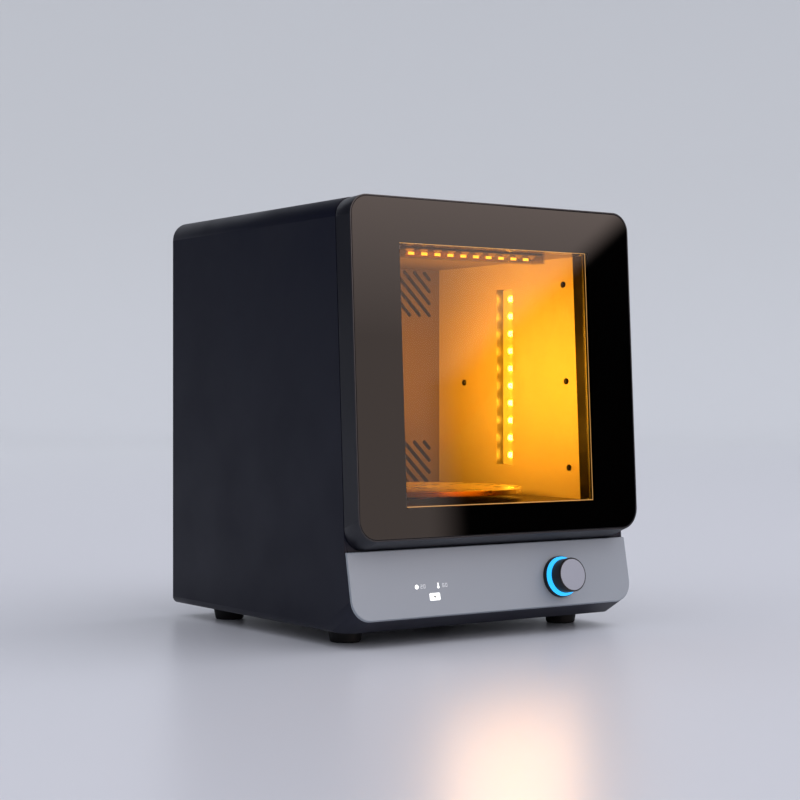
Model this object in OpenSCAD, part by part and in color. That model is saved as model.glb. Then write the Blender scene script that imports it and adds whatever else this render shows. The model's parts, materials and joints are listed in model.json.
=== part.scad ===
// Benchtop light curing unit for dental models: a leaning amber window door over a control
// panel, a steel chamber with light strips and a turntable, and the machinery behind and below.
// Millimetres. +Z up, -Y is the front, origin at the middle of the footprint on the bench.

/* [Cabinet] */
// Width of the cabinet
case_w = 300; // [290:5:330]
// Height of the cabinet from its underside to its top
case_h = 359.3; // [350:0.1:380]
// Depth of the cabinet from the lip under the panel to the back edge
case_d = 310.5; // [300:0.5:330]
// Wall thickness of the cabinet
case_wall = 2.5; // [2:0.5:3.5]
// Radius of the long top edges
case_edge_r = 17; // [12:1:20]
// Radius of the long bottom edges
base_edge_r = 6; // [4:1:10]
// Height of the feet
foot_h = 12; // [8:1:20]
// Radius of the feet
foot_r = 14.5; // [10:0.5:18]
// Distance of the feet from the cabinet's sides
foot_inset = 32; // [26:1:40]
// Height of the bevelled nose under the panel
lip_h = 12; // [8:1:16]
// Depth of the bevelled nose under the panel
lip_d = 20.5; // [14:0.5:26]
// How far the back panel stands inside the back edge
rear_inset = 6; // [4:1:10]

/* [Control panel] */
// Height of the panel along its slope
panel_h = 56.6; // [52:0.2:64]
// Lean of the panel in degrees
panel_lean = 10.7; // [6:0.1:14]
// Thickness of the panel
panel_t = 3; // [2:0.5:4]
// Radius of the knob
knob_r = 14.8; // [12:0.2:17]
// Height of the knob's face above the panel
knob_reach = 19; // [15:0.5:24]
// Distance of the knob's axis from the middle of the panel
knob_x = 69; // [50:1:90]
// Height of the knob's axis above the lip, along the slope
knob_up = 25; // [23:0.5:29]
// Width of the collar that stands out round the knob's light ring
collar_w = 3.2; // [2.8:0.2:4.4]

/* [Door] */
// Lean of the door in degrees
door_lean = 2.9; // [0:0.1:5]
// Thickness of the door
door_t = 21.3; // [19:0.1:26]
// Gap between the door and the cabinet behind it
seam_gap = 1; // [0.8:0.1:1.6]
// How much lower the door's back edge is than its front edge
door_bevel = 7.5; // [5:0.5:9]
// Radius of the door's bottom corners
door_corner_r = 18; // [15:1:22]
// Thickness of the door's glass
glass_t = 4; // [3:0.5:5]
// Rim of the door frame that shows round the glass
glass_rim = 1.2; // [0.8:0.1:2]
// Width of the dark border beside the window
window_side = 48; // [46:1:60]
// Distance from the top of the glass down to the window
window_head = 36.2; // [36:0.2:50]
// Distance from the bottom of the glass to the window
window_foot = 25.5; // [25:0.5:30]
// Radius of the door's hinge edge
hinge_r = 5.5; // [5:0.5:6.5]
// Radius of the hinge pins
hinge_pin_r = 2; // [1.5:0.1:2.5]
// Widest opening of the door in degrees
door_open = 95; // [80:1:95]

/* [Chamber] */
// Space between a side of the cabinet and the chamber
chamber_gap = 30; // [29:1:38]
// Height of the machine bay under the chamber
base_bay_h = 102; // [98:1:108]
// Height of the lamp bay above the chamber
top_bay_h = 37.3; // [34:0.1:44]
// Depth of the fan bay behind the chamber
rear_bay_d = 57.8; // [54:0.2:64]
// Thickness of the chamber's sheets
sheet_t = 1.2; // [0.8:0.1:2]
// Side of each field of vent slots
vent_side = 45; // [36:1:50]
// Width of a vent slot
vent_slot_w = 4; // [3:0.2:5]
// Spacing of the vent slots
vent_pitch = 8.5; // [7.5:0.5:11]

/* [Lamps] */
// Height of the side lamps above the chamber floor
lamp_low = 28; // [24:0.5:40]
// Distance of the side lamps below the chamber ceiling
lamp_head = 24.5; // [20:0.5:40]
// Width of a side lamp window
lamp_w = 25; // [20:1:30]
// Depth of a side lamp's recess
lamp_depth = 8.4; // [7:0.2:9]
// Number of lights on each strip
lamp_count = 10; // [8:1:12]
// Distance of the side lamps from the chamber's back wall
lamp_back = 105.5; // [90:0.5:120]
// Space between a wall of the chamber and the top lamp
top_lamp_side = 44; // [35:1:60]
// Distance of the top lamp from the front of the chamber's mouth
top_lamp_front = 18; // [14:1:30]

/* [Turntable] */
// Space between the turntable and the side walls
table_gap = 25; // [22:1:35]
// Height of the turntable's top above the chamber floor
table_rise = 11; // [10:0.5:14]
// Distance of the turntable's axis from the back wall
table_back = 130; // [120:1:135]
// Radius of the turntable's spindle
spindle_r = 4; // [3:0.5:5]

/* [Hidden] */
$fn = 64;

// Fits and clearances
sheet_fit = 0.2;
run_fit = 0.05;
cut = 1;
lip_slack = 0.6;

// Heights above the bench
case_z = foot_h;
top_z = case_z + case_h;
lip_z = case_z + lip_h;
panel_z = lip_z + panel_h * cos(panel_lean);
floor_z = case_z + base_bay_h;
ceiling_z = top_z - top_bay_h;
chamber_h = ceiling_z - floor_z;
deck_z = case_z + case_wall;
chassis_t = 1.5;
bay_z = deck_z + chassis_t;

// Depths: the knob's lowest rim and the back edge are equally far from the origin
knob_edge = 0.6;
knob_z = lip_z + knob_up * cos(panel_lean);
knob_lead = knob_reach * cos(panel_lean) + (knob_r - knob_edge) * sin(panel_lean)
    - knob_up * sin(panel_lean);
back_y = (case_d + knob_lead) / 2;
lip_y = back_y - case_d;
panel_y = lip_y + panel_h * sin(panel_lean);
knob_y = lip_y + knob_up * sin(panel_lean);
front_y = panel_y + panel_t / cos(panel_lean) + lip_slack;
rear_out_y = back_y - rear_inset;
rear_t = 1.5;
rear_y = rear_out_y - rear_t;
wall_y = back_y - rear_bay_d;

// The plane behind the door: its height and its own vertical positions
front_h = (top_z - panel_z) / cos(door_lean);
frame_t = 3;
door_gap = 0.4;
glass_foot = door_gap + door_bevel + glass_rim;
door_top = front_h - 0.6;
glass_w = case_w - 2 * glass_rim;
glass_h = door_top - glass_rim - glass_foot;
glass_r = door_corner_r - glass_rim;
window_z = glass_foot + window_foot;
window_w = case_w - 2 * window_side;
window_h = door_top - glass_rim - window_head - window_z;
filter_t = 3;
filter_lap = 8;
web_t = 5;
cover_t = 2;
stile_t = 2 * hinge_r;
door_wall = 3;
hinge_x = case_w / 2 - hinge_r;
hinge_y = -seam_gap - hinge_r;
hinge_h = 16;
hinge_clear = 0.5;
hinge_knuckle_r = hinge_r - 1.3;
hinge_margin = 58;

function plane_y(z) = front_y + (z - panel_z) * tan(door_lean);

// Places in the chamber
inner_w = case_w / 2 - case_wall;
chamber_w = case_w - 2 * chamber_gap;
chamber_x = chamber_w / 2;
table_r = chamber_x - table_gap;
top_lamp_len = chamber_w - 2 * top_lamp_side;
lamp_y = wall_y - lamp_back;
lamp_len = chamber_h - lamp_low - lamp_head;
lamp_z = floor_z + lamp_low + lamp_len / 2;
lamp_pitch = (lamp_len - 18) / (lamp_count - 1);
tray_t = 1.2;
board_t = 1.6;
sink_base = 3;
sink_fin_h = 8;
sink_fin_t = 1.6;
table_y = wall_y - table_back;
table_z = floor_z + table_rise;
top_lamp_w = 14;
top_lamp_h = 9;
top_lamp_y = plane_y(ceiling_z) + frame_t + top_lamp_front - 15 + top_lamp_w / 2;
top_lamp_pitch = (top_lamp_len - 18.8) / (lamp_count - 1);

// Places on the back and in the base
inlet_x = -inner_w + 55.5;
inlet_z = bay_z + 46;
inlet_w = 28;
inlet_h = 48;
exhaust_x = inner_w - 67.5;
exhaust_z = bay_z + 45;
exhaust_side = 60;
exhaust_t = 20;
duct_w = chamber_w - 12;
duct_d = rear_y - wall_y - sheet_t - 4;
fan_side = 80;
fan_t = 25;
fan_z = (floor_z + ceiling_z) / 2;
motor_r = 21;
motor_h = 24;
coupler_h = 16;
screw_r = 1.5;
screw_head_r = 2.85;
foot_front = 61.7;
foot_rear = 51.7;
supply_side = 17.5;
supply_back = 175;
supply_w = 98;
supply_d = 110;
supply_h = 38;
main_side = 21.5;
main_back = 200;
main_w = 90;
main_d = 80;
main_up = 6;
main_post_in = 4;
main_post_r = 3;
chip_h = 2;
can_r = 5;
can_h = 14;
heater_d = 22;
heater_fin_pitch = 4.2;
heater_fin_t = 0.8;
heater_gap = 11;
bracket_w = 68;
bracket_d = 28;
bracket_t = 2;
bracket_tab = 10;

// Frames of reference

module on_front() {
    translate([0, front_y, panel_z])
        rotate([-door_lean, 0, 0])
            children();
}

module on_panel() {
    translate([0, lip_y, lip_z])
        rotate([-panel_lean, 0, 0])
            children();
}

module at_knob() {
    translate([knob_x, knob_y, knob_z])
        rotate([90 - panel_lean, 0, 0])
            children();
}

module mirrored_x() {
    children();
    mirror([1, 0, 0])
        children();
}

// Exact flat outlines

module rounded_square(w, h, r) {
    for (x = [r, w - r], y = [r, h - r])
        translate([x, y])
            circle(r);
    translate([r, 0])
        square([w - 2 * r, h]);
    translate([0, r])
        square([w, h - 2 * r]);
}

// A rounded square whose bottom and top corners differ, centred on x and standing on y = 0
module arched_square(w, h, r_low, r_high) {
    intersection() {
        translate([-w / 2, 0])
            rounded_square(w, h + 2 * r_low, r_low);
        translate([-w / 2, -2 * r_high])
            rounded_square(w, h + 2 * r_high, r_high);
    }
}

// A plate in the X-Z plane that reaches from y = 0 towards +Y
module upright(t) {
    rotate([90, 0, 0])
        mirror([0, 0, 1])
            linear_extrude(t)
                children();
}

// A plate in the Y-Z plane that reaches from x = 0 towards +X
module sidewise(t) {
    rotate([90, 0, 90])
        linear_extrude(t)
            children();
}

module slot(length, w) {
    square([length - w, w], center = true);
    for (s = [-1, 1])
        translate([s * (length - w) / 2, 0])
            circle(w / 2, $fn = 24);
}

// A field of slots at 45 degrees, clipped to a square
module vent_field(side) {
    reach = floor(side / sqrt(2) / vent_pitch - 0.5);
    for (k = [-reach:reach]) {
        run = 2 * (side / sqrt(2) - abs(k) * vent_pitch);
        if (run > 2 * vent_slot_w)
            rotate(-45)
                translate([0, k * vent_pitch])
                    slot(run, vent_slot_w);
    }
}

module button_screw(length, head_r, shank_r) {
    rotate_extrude($fn = 32)
        polygon([[0, -length], [shank_r, -length], [shank_r, 0], [head_r, 0],
                 [head_r, head_r * 0.35], [head_r * 0.7, head_r * 0.6], [0, head_r * 0.6]]);
}

// The cabinet's outer form

module case_outline(inset) {
    translate([0, case_z + inset])
        arched_square(case_w - 2 * inset, case_h - 2 * inset,
                      base_edge_r - inset * 0.9, case_edge_r - inset);
}

module case_profile(rear) {
    polygon([[lip_y, lip_z], [panel_y, panel_z], [front_y, panel_z],
             [plane_y(top_z), top_z], [rear, top_z], [rear, case_z],
             [lip_y + lip_d, case_z]]);
}

// A prism that runs back and down along the nose's bevel, with rounded lower corners
module nose_prism(inset) {
    slope = atan2(lip_h, lip_d);
    drop = inset / cos(slope);
    translate([0, lip_y, lip_z + drop])
        rotate([-slope, 0, 0])
            translate([0, -case_h, 0])
                upright(3 * case_d)
                    arched_square(case_w - 2 * inset, 3 * case_h, case_edge_r - inset, 1);
}

module envelope() {
    intersection() {
        intersection() {
            translate([0, lip_y - cut, 0])
                upright(case_d + cut)
                    case_outline(0);
            nose_prism(0);
        }
        translate([-case_w, 0, 0])
            sidewise(2 * case_w)
                case_profile(back_y);
    }
}

module hollow(inset) {
    intersection() {
        translate([0, lip_y - case_d, 0])
            upright(3 * case_d)
                case_outline(inset);
        nose_prism(inset);
    }
}

module panel_slab(t) {
    intersection() {
        on_panel()
            translate([-case_w, -case_d / 2, -case_d / 2])
                cube([2 * case_w, case_d / 2 + t, case_d]);
        translate([-case_w, -case_d, -case_d])
            cube([2 * case_w, 2 * case_d, case_d + panel_z]);
    }
}

module case_shell() {
    color("#22232c")
        difference() {
            envelope();
            hollow(case_wall);
            panel_slab(panel_t);
            base_vents();
            at_feet()
                cylinder(r = screw_r + run_fit, h = case_z + case_wall + cut, $fn = 32);
        }
}

module base_vents() {
    for (k = [-4:4])
        translate([k * 9, back_y - 90, case_z - cut])
            linear_extrude(case_wall + chassis_t + 2 * cut)
                rotate(90)
                    slot(60, 3.4);
}

module chassis_plate() {
    color("#9a9da1")
        difference() {
            translate([-inner_w + base_edge_r, lip_y + lip_d + base_edge_r, deck_z])
                cube([2 * (inner_w - base_edge_r), rear_y - lip_y - lip_d - base_edge_r, chassis_t]);
            base_vents();
        }
}

module rear_panel() {
    color("#2b2c33")
        difference() {
            translate([0, rear_y, 0])
                upright(rear_t)
                    difference() {
                        case_outline(case_wall + sheet_fit);
                        rear_openings();
                        at_rear_screws()
                            circle(screw_r + run_fit, $fn = 32);
                    }
        }
}

module rear_openings() {
    translate([inlet_x, inlet_z])
        square([inlet_w, inlet_h], center = true);
    translate([exhaust_x, exhaust_z])
        circle(exhaust_side / 2 - 2);
    for (s = [-1, 1], z = [floor_z + 30, ceiling_z - 30])
        translate([s * chamber_w / 3, z])
            mirror([s > 0 ? 0 : 1, 0])
                vent_field(vent_side);
}

module front_frame() {
    color("#26272f")
        difference() {
            on_front()
                upright(frame_t)
                    translate([0, sheet_fit])
                        arched_square(case_w - 2 * case_wall - 2 * sheet_fit,
                                      front_h - case_wall - 2 * sheet_fit, 2,
                                      case_edge_r - case_wall);
            mouth(0);
            on_front()
                hinge_leaf_seats(0);
        }
}

module mouth(slack) {
    translate([-chamber_x - slack, front_y - 2 * door_t, floor_z - slack])
        cube([chamber_w + 2 * slack, 4 * door_t + frame_t, chamber_h + 2 * slack]);
}

module control_panel() {
    color("#8b8e97")
        difference() {
            intersection() {
                envelope();
                panel_slab(panel_t - lip_slack / 2);
            }
            at_knob()
                translate([0, 0, -2 * panel_t])
                    cylinder(r = knob_r - 2, h = 4 * panel_t);
        }
}

// Feet

module at_feet() {
    for (x = [-1, 1], y = [lip_y + foot_front, back_y - foot_rear])
        translate([x * (case_w / 2 - foot_inset), y, 0])
            children();
}

module feet() {
    color("#17171a")
        at_feet()
            rotate_extrude()
                polygon([[screw_r + run_fit, 4], [screw_head_r + 0.6, 4], [screw_head_r + 0.6, 0],
                         [foot_r - 2.5, 0], [foot_r - 1.5, 1], [foot_r, foot_h - 3],
                         [foot_r, foot_h], [screw_r + run_fit, foot_h]]);
}

module foot_screws() {
    color("#c4c6c9")
        at_feet()
            translate([0, 0, 4])
                mirror([0, 0, 1])
                    button_screw(foot_h + case_wall - 4.2, screw_head_r, screw_r);
}

// Chamber sheets

module chamber_side() {
    difference() {
        translate([chamber_x, 0, 0])
            sidewise(sheet_t)
                difference() {
                    polygon([[plane_y(floor_z) + frame_t, floor_z],
                             [plane_y(ceiling_z) + frame_t + sheet_fit, ceiling_z],
                             [wall_y, ceiling_z], [wall_y, floor_z]]);
                    translate([lamp_y - lamp_w / 2, lamp_z - lamp_len / 2])
                        square([lamp_w, lamp_len]);
                }
        chamber_screw_places()
            translate([0, 0, -cut])
                cylinder(r = screw_r + run_fit, h = sheet_t + 2 * cut, $fn = 24);
    }
}

module chamber_left_wall() {
    color("#b9b4aa")
        mirror([1, 0, 0])
            chamber_side();
}

module chamber_right_wall() {
    color("#b9b4aa")
        chamber_side();
}

// Places of the button screws on the right wall, with +Z into the sheet
module chamber_screw_places() {
    for (z = [ceiling_z - 24.5, (floor_z + ceiling_z) / 2 - 3.2, floor_z + 27.8])
        translate([chamber_x, plane_y(z) + 34, z])
            rotate([0, 90, 0])
                children();
    translate([chamber_x, wall_y - 42, (floor_z + ceiling_z) / 2 - 3.2])
        rotate([0, 90, 0])
            children();
}

module chamber_screws() {
    color("#1c1c1f")
        mirrored_x()
            chamber_screw_places()
                mirror([0, 0, 1])
                    button_screw(sheet_t + 2, screw_head_r, screw_r);
}

module chamber_back_wall() {
    color("#b3aea5")
        translate([0, wall_y, 0])
            upright(sheet_t)
                difference() {
                    translate([-chamber_x - sheet_t, floor_z - sheet_t])
                        square([chamber_w + 2 * sheet_t, chamber_h + 2 * sheet_t]);
                    for (s = [0, 1], z = [floor_z + 4 + vent_side / 2, ceiling_z - 2 - vent_side / 2])
                        mirror([s, 0])
                            translate([chamber_x - 11 - vent_side / 2, z])
                                vent_field(vent_side);
                    translate([0, fan_z])
                        intake_holes();
                }
}

// Rings of round holes in front of the circulation fan
module intake_holes() {
    for (ring = [1:4])
        for (k = [0:6 * ring - 1])
            rotate(k * 60 / ring)
                translate([ring * 8.6, 0])
                    circle(2, $fn = 20);
}

module chamber_ceiling() {
    color("#b9b4aa")
        translate([-chamber_x - sheet_t, plane_y(ceiling_z) + frame_t + sheet_fit, ceiling_z])
            cube([chamber_w + 2 * sheet_t, wall_y - plane_y(ceiling_z) - frame_t - sheet_fit,
                  sheet_t]);
}

module chamber_floor() {
    color("#8d8a84")
        difference() {
            translate([-chamber_x - sheet_t, plane_y(floor_z) + frame_t, floor_z - sheet_t])
                cube([chamber_w + 2 * sheet_t, wall_y - plane_y(floor_z) - frame_t, sheet_t]);
            translate([0, table_y, floor_z - sheet_t - cut])
                cylinder(r = bush_r, h = sheet_t + 2 * cut);
        }
}

// Lamps

module at_lamp() {
    mirrored_x()
        translate([chamber_x + sheet_t, lamp_y, lamp_z])
            rotate([0, 90, 0])
                children();
}

module side_lamp_trays() {
    color("#d8d5cc")
        at_lamp()
            difference() {
                translate([-lamp_len / 2 - tray_t, -lamp_w / 2 - tray_t, 0])
                    cube([lamp_len + 2 * tray_t, lamp_w + 2 * tray_t, lamp_tray_h]);
                translate([-lamp_len / 2, -lamp_w / 2, -cut])
                    cube([lamp_len, lamp_w, lamp_tray_h - tray_t + cut]);
            }
}

lamp_tray_h = lamp_depth - sheet_t + board_t + tray_t;

module side_lamp_boards() {
    color("#e8e6df")
        at_lamp()
            translate([-lamp_len / 2 + sheet_fit, -lamp_w / 2 + sheet_fit, lamp_depth - sheet_t])
                cube([lamp_len - 2 * sheet_fit, lamp_w - 2 * sheet_fit, board_t]);
}

// One light: a square chip with a domed lens that points along +Z
module light() {
    translate([-2.5, -2.5, 0])
        cube([5, 5, 1.2]);
    translate([0, 0, 1.2])
        intersection() {
            sphere(2.2, $fn = 24);
            translate([-3, -3, 0])
                cube([6, 6, 3]);
        }
}

module side_lamp_leds() {
    color("#ffd36b")
        at_lamp()
            for (k = [0:lamp_count - 1])
                translate([(k - (lamp_count - 1) / 2) * lamp_pitch, 0, lamp_depth - sheet_t])
                    mirror([0, 0, 1])
                        light();
}

module top_lamp_board() {
    color("#e8e6df")
        translate([-top_lamp_len / 2 + 2, top_lamp_y - top_lamp_w / 2 + 1.5, ceiling_z - board_t])
            cube([top_lamp_len - 4, top_lamp_w - 3, board_t]);
}

module top_lamp_leds() {
    color("#ffd36b")
        for (k = [0:lamp_count - 1])
            translate([(k - (lamp_count - 1) / 2) * top_lamp_pitch, top_lamp_y,
                       ceiling_z - board_t])
                mirror([0, 0, 1])
                    light();
}

module top_lamp_cover() {
    color("#cfc6b4", 0.5)
        difference() {
            translate([-top_lamp_len / 2, top_lamp_y - top_lamp_w / 2, ceiling_z - top_lamp_h])
                cube([top_lamp_len, top_lamp_w, top_lamp_h]);
            translate([-top_lamp_len / 2 + 1, top_lamp_y - top_lamp_w / 2 + 1,
                       ceiling_z - top_lamp_h + 1])
                cube([top_lamp_len - 2, top_lamp_w - 2, top_lamp_h]);
        }
}

module heat_sink(length, w) {
    translate([-length / 2, -w / 2, 0])
        cube([length, w, sink_base]);
    count = floor(w / 5);
    for (k = [0:count - 1])
        translate([-length / 2, (k - (count - 1) / 2) * (w - sink_fin_t) / (count - 1)
                   - sink_fin_t / 2, 0])
            cube([length, sink_fin_t, sink_base + sink_fin_h]);
}

module heat_sinks() {
    color("#5c5f66") {
        at_lamp()
            translate([0, 0, lamp_tray_h])
                heat_sink(lamp_len - 10, lamp_w);
        translate([0, top_lamp_y, ceiling_z + sheet_t])
            heat_sink(top_lamp_len - 10, top_lamp_w + 3);
    }
}

// Turntable and its drive

bush_r = spindle_r + 3;
hub_r = 18;
disc_t = 1.5;
rim_h = 5;
bush_flange_h = 1;

module turntable_disc() {
    color("#c9c4ba")
        translate([0, table_y, table_z - rim_h])
            rotate_extrude($fn = 128)
                polygon([[spindle_r, rim_h - disc_t], [table_r - 1.5, rim_h - disc_t],
                         [table_r - 1.5, 0], [table_r - 0.4, 0], [table_r, 0.4],
                         [table_r, rim_h - 0.5], [table_r - 0.5, rim_h], [table_r - 2.5, rim_h],
                         [table_r - 3, rim_h - 0.5], [spindle_r, rim_h - 0.5]]);
}

module turntable_hub() {
    color("#3a3b40")
        translate([0, table_y, floor_z + bush_flange_h + sheet_fit])
            difference() {
                cylinder(r = hub_r, h = table_rise - disc_t - bush_flange_h - sheet_fit);
                translate([0, 0, -cut])
                    cylinder(r = spindle_r, h = table_rise + 2 * cut);
            }
}

module drive_spindle() {
    color("#b5b7ba")
        translate([0, table_y, floor_z - sheet_t - 20])
            cylinder(r = spindle_r, h = 20 + sheet_t + table_rise - 0.5);
}

module floor_bush() {
    color("#b08d4f")
        translate([0, table_y, floor_z - sheet_t - 5])
            rotate_extrude()
                polygon([[spindle_r + run_fit, 0], [bush_r + 3, 0], [bush_r + 3, 5], [bush_r, 5],
                         [bush_r, 5 + sheet_t], [bush_r + 2, 5 + sheet_t],
                         [bush_r + 2, 5 + sheet_t + bush_flange_h],
                         [spindle_r + run_fit, 5 + sheet_t + bush_flange_h]]);
}

coupler_z = floor_z - sheet_t - 5 - 1 - coupler_h;
motor_top = coupler_z - 1;
motor_shaft_r = 3;

module shaft_coupler() {
    color("#9fa2a6")
        translate([0, table_y, coupler_z])
            difference() {
                union() {
                    cylinder(r = spindle_r + 4, h = coupler_h);
                    translate([0, 0, -8])
                        cylinder(r = motor_shaft_r, h = 9);
                }
                translate([0, 0, floor_z - sheet_t - 20 - coupler_z])
                    cylinder(r = spindle_r, h = coupler_h);
            }
}

module turntable_motor() {
    color("#6f7277")
        translate([0, table_y, motor_top - motor_h])
            difference() {
                cylinder(r = motor_r, h = motor_h);
                translate([0, 0, motor_h - 10])
                    cylinder(r = motor_shaft_r + run_fit, h = 10 + cut);
            }
}

module motor_bracket() {
    color("#a4a7ab")
        translate([0, table_y, 0])
            difference() {
                union() {
                    translate([-bracket_w / 2, -bracket_d / 2, motor_top])
                        cube([bracket_w, bracket_d, bracket_t / 2]);
                    for (s = [-1, 1])
                        translate([s * (bracket_w - bracket_t) / 2 - bracket_t / 2, -bracket_d / 2,
                                   motor_top])
                            cube([bracket_t, bracket_d, floor_z - sheet_t - motor_top]);
                    for (s = [-1, 1])
                        translate([s * (bracket_w / 2 + 3) - bracket_tab / 2, -bracket_d / 2,
                                   floor_z - sheet_t - bracket_t])
                            cube([bracket_tab, bracket_d, bracket_t]);
                }
                translate([0, 0, motor_top - cut])
                    cylinder(r = spindle_r + 4.5, h = 2 * cut + 2);
            }
}

// Air and heat

module air_duct() {
    color("#8f9297")
        translate([0, wall_y + sheet_t, fan_z])
            difference() {
                translate([-duct_w / 2, 0, -chamber_h / 2])
                    cube([duct_w, duct_d, chamber_h]);
                translate([-duct_w / 2 + sheet_t, -cut, -chamber_h / 2 + sheet_t])
                    cube([duct_w - 2 * sheet_t, duct_d - sheet_t + cut, chamber_h - 2 * sheet_t]);
            }
}

// A square axial fan housing that blows along +Z
module fan_frame(side, t) {
    difference() {
        translate([-side / 2, -side / 2, 0])
            linear_extrude(t)
                rounded_square(side, side, 4);
        translate([0, 0, 2.5])
            cylinder(r = side / 2 - 2, h = t);
        translate([0, 0, -cut])
            linear_extrude(5)
                difference() {
                    circle(side / 2 - 2);
                    circle(side * 0.2);
                    for (a = [45:90:315])
                        rotate(a)
                            translate([0, -1.5])
                                square([side, 3]);
                }
        translate([0, 0, -cut])
            cylinder(r = 1.5 + run_fit, h = t);
        for (x = [-1, 1], y = [-1, 1])
            translate([x * (side / 2 - 4), y * (side / 2 - 4), -cut])
                cylinder(r = 2, h = t + 2 * cut, $fn = 24);
    }
}

// A fan rotor that sits in the housing above: a hub, a shaft and flat pitched blades
module fan_rotor(side, t) {
    hub = side * 0.19;
    tip = side / 2 - 3.2;
    translate([0, 0, 3.2])
        cylinder(r = hub, h = t - 5);
    translate([0, 0, 0.5])
        cylinder(r = 1.5, h = 3);
    intersection() {
        translate([0, 0, 3.2])
            difference() {
                cylinder(r = tip, h = t - 5);
                translate([0, 0, -cut])
                    cylinder(r = hub - 0.5, h = t);
            }
        for (k = [0:6])
            rotate([0, 0, k * 360 / 7])
                translate([0, 0, t / 2])
                    rotate([42, 0, 0])
                        translate([hub - 1, -t * 0.55, -0.8])
                            cube([tip, t * 1.1, 1.6]);
    }
}

module at_circulation_fan() {
    translate([0, wall_y + sheet_t + duct_d - sheet_t, fan_z])
        rotate([90, 0, 0])
            children();
}

module circulation_fan_frame() {
    color("#1f2023")
        at_circulation_fan()
            fan_frame(fan_side, fan_t);
}

module circulation_impeller() {
    color("#2d2e33")
        at_circulation_fan()
            fan_rotor(fan_side, fan_t);
}

heater_w = chamber_w / 2;
heater_reach = floor(heater_w / 2 / heater_fin_pitch);

module heater_bank() {
    color("#a9a49b")
        for (s = [-1, 1])
            translate([0, wall_y + sheet_t + duct_d - sheet_t,
                       fan_z + s * (fan_side / 2 + heater_gap + heater_d / 2)])
                mirror([0, 1, 0]) {
                    for (z = [-heater_d / 2 - 1, heater_d / 2 - 1])
                        translate([-heater_w / 2, 0, z])
                            cube([heater_w, heater_d, 2]);
                    for (k = [-heater_reach:heater_reach])
                        translate([k * heater_fin_pitch - heater_fin_t / 2, 0, -heater_d / 2])
                            cube([heater_fin_t, heater_d, heater_d]);
                    translate([-heater_w / 2, 0, -2])
                        cube([heater_w, heater_d, 4]);
                }
}

module at_exhaust_fan() {
    translate([exhaust_x, rear_y, exhaust_z])
        rotate([90, 0, 0])
            children();
}

module exhaust_fan_frame() {
    color("#1f2023")
        at_exhaust_fan()
            fan_frame(exhaust_side, exhaust_t);
}

module exhaust_impeller() {
    color("#2d2e33")
        at_exhaust_fan()
            fan_rotor(exhaust_side, exhaust_t);
}

module exhaust_guard() {
    color("#c0c2c5")
        translate([exhaust_x, rear_out_y, exhaust_z])
            rotate([-90, 0, 0])
                linear_extrude(1.6) {
                    for (r = [8:7:29])
                        difference() {
                            circle(r + 0.8);
                            circle(r - 0.8);
                        }
                    for (a = [45, 135])
                        rotate(a)
                            square([exhaust_side * 1.24, 2], center = true);
                    for (x = [-1, 1], y = [-1, 1])
                        translate([x * (exhaust_side / 2 - 4), y * (exhaust_side / 2 - 4)])
                            circle(4, $fn = 24);
                }
}

// Power entry: a socket below and a rocker above, in one moulding

socket_w = 24;
socket_h = 16;
socket_z = -13;
rocker_z = 12;
rocker_w = 19;
rocker_h = 12.5;
drawer_h = 5;
drawer_z = -0.2;
inlet_flange = 2;
inlet_depth = 28;

module at_inlet() {
    translate([inlet_x, rear_out_y, inlet_z])
        children();
}

module power_inlet() {
    color("#18181b")
        at_inlet()
            difference() {
                union() {
                    translate([-inlet_w / 2 - 3, 0, -inlet_h / 2 - 3])
                        cube([inlet_w + 6, inlet_flange, inlet_h + 6]);
                    translate([-inlet_w / 2 + sheet_fit, -inlet_depth, -inlet_h / 2 + sheet_fit])
                        cube([inlet_w - 2 * sheet_fit, inlet_depth + cut,
                              inlet_h - 2 * sheet_fit]);
                }
                translate([-socket_w / 2, -16, socket_z - socket_h / 2])
                    cube([socket_w, 20, socket_h]);
                translate([-rocker_w / 2, -14, rocker_z - rocker_h / 2])
                    cube([rocker_w, 20, rocker_h]);
                translate([-rocker_w / 2, -20, drawer_z - drawer_h / 2])
                    cube([rocker_w, 24, drawer_h]);
            }
}

module inlet_pins() {
    color("#cbb98a")
        at_inlet()
            for (p = [[-7, -2], [7, -2], [0, 2]])
                translate([p[0] - 1, -16, socket_z + p[1] - 2])
                    cube([2, 13, 4]);
}

module rocker_switch() {
    color("#101013")
        at_inlet()
            translate([0, -3.5, rocker_z])
                rotate([90, 0, 90])
                    translate([0, 0, -rocker_w / 2 + 0.4])
                        linear_extrude(rocker_w - 0.8)
                            polygon([[-3.6, -4.6], [-3.6, 4.6], [3.8, 4.6], [5.2, 0], [5.2, -4.6]]);
}

module fuse_drawer() {
    color("#26262a")
        at_inlet()
            translate([-rocker_w / 2 + 0.3, 0, drawer_z - drawer_h / 2 + 0.3]) {
                translate([0, -19, 0])
                    cube([rocker_w - 0.6, 20.6, drawer_h - 0.6]);
            }
}

module at_rear_screws() {
    for (s = [-1, 1], z = [case_z + 30, floor_z + 60, ceiling_z - 60, top_z - 30])
        translate([s * (inner_w - 8), z])
            children();
}

module rear_screws() {
    color("#c4c6c9")
        translate([0, rear_out_y, 0])
            rotate([90, 0, 0])
                at_rear_screws()
                    mirror([0, 0, 1])
                        button_screw(rear_t + 1, screw_head_r, screw_r);
}

// Electronics in the base

module power_supply() {
    color("#b4b7ba")
        translate([-inner_w + supply_side, back_y - supply_back, bay_z])
            difference() {
                cube([supply_w, supply_d, supply_h]);
                for (k = [0:9])
                    translate([supply_w * 0.2, supply_d * (0.11 + k * 0.082), supply_h - 2])
                        cube([supply_w * 0.6, supply_d * 0.036, 4]);
            }
}

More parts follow.
